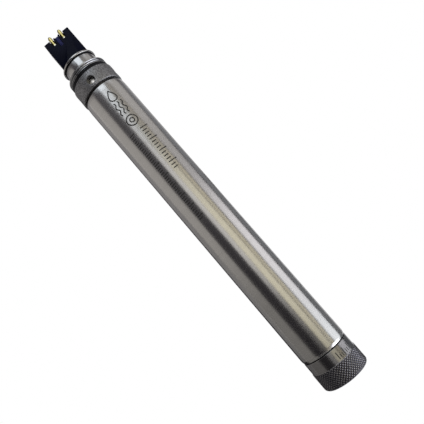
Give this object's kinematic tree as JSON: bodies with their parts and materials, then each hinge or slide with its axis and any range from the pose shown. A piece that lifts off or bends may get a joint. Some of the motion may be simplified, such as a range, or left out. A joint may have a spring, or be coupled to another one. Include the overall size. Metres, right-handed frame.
{
  "type": "water quality probe",
  "caption": "Slim cylindrical optical probe for water quality: titanium tube, captive locking nut and wet-mate connector at one end, screw-on knurled sensing cap at the other.",
  "frame": {"origin": "on the probe's axis at the front face of the connector rim, where the probe seats in its port", "axes": "+Z along the axis, out of the connector; the sensing end points down -Z, as the probe hangs in use; the connector's keyed side faces -Y"},
  "size_m": [0.0168, 0.0168, 0.1566],
  "materials": {
    "titanium": "satin turned titanium, fine circumferential grain",
    "blasted_titanium": "bead-blasted dark grey titanium",
    "black_polymer": "moulded near-black polymer with a navy tint",
    "rubber": "matt black rubber",
    "gold": "gold-plated copper alloy",
    "tinned_copper": "tinned copper wire",
    "acetal": "natural white acetal",
    "board_green": "green solder mask",
    "chip_black": "moulded black epoxy",
    "amber_film": "amber polyimide",
    "clear_glass": "polished clear glass",
    "blue_lens": "clear blue epoxy",
    "red_lens": "clear red epoxy",
    "filter_glass": "polished red glass",
    "foil_black": "matt black coated foil"
  },
  "bodies": {
    "probe_body": {"tube_housing": "titanium", "bulkhead": "titanium", "sensor_nose": "titanium", "connector_block": "black_polymer", "contact_pin_1": "gold", "contact_pin_2": "gold", "contact_pin_3": "gold", "contact_pin_4": "gold", "contact_lead_1": "tinned_copper", "contact_lead_2": "tinned_copper", "contact_lead_3": "tinned_copper", "contact_lead_4": "tinned_copper", "port_o_ring": "rubber", "bulkhead_o_ring_front": "rubber", "bulkhead_o_ring_rear": "rubber", "nose_o_ring": "rubber", "cap_o_ring": "rubber", "window_seal": "rubber", "probe_window": "clear_glass", "optics_holder": "black_polymer", "optics_board": "board_green", "excitation_led": "blue_lens", "reference_led": "red_lens", "photodiode": "chip_black", "optical_filter": "filter_glass", "thermistor": "chip_black", "circuit_board": "board_green", "board_clamp_upper": "acetal", "board_clamp_lower": "acetal", "flex_cable": "amber_film", "processor_chip": "chip_black", "converter_chip": "chip_black", "regulator_chip": "chip_black", "timing_crystal": "chip_black", "power_inductor": "chip_black", "memory_chip": "chip_black"},
    "nut_carrier": {"slip_washer": "acetal"},
    "nut_body": {"locking_nut": "blasted_titanium", "nut_o_ring": "rubber"},
    "cap_carrier": {"seam_gasket": "rubber"},
    "cap_body": {"cap_shell": "blasted_titanium", "sensing_disc": "clear_glass", "sensing_foil": "foil_black"}
  },
  "joints": [
    {"name": "nut_float", "type": "slide", "parent": "probe_body", "child": "nut_carrier", "axis": [0, 0, 1], "range_m": [-0.00085, 0.00025]},
    {"name": "nut_spin", "type": "hinge", "parent": "nut_carrier", "child": "nut_body", "pos_m": [0, 0, -0.0121], "axis": [0, 0, 1], "continuous": true},
    {"name": "cap_travel", "type": "slide", "parent": "probe_body", "child": "cap_carrier", "axis": [0, 0, -1], "range_m": [0, 0.00505]},
    {"name": "cap_turn", "type": "hinge", "parent": "cap_carrier", "child": "cap_body", "pos_m": [0, 0, -0.13195], "axis": [0, 0, -1], "range_deg": [0, 1800]}
  ],
  "couplings": [
    {"joint": "cap_travel", "follows": "cap_turn", "m_per_rad": 0.00015915}
  ]
}
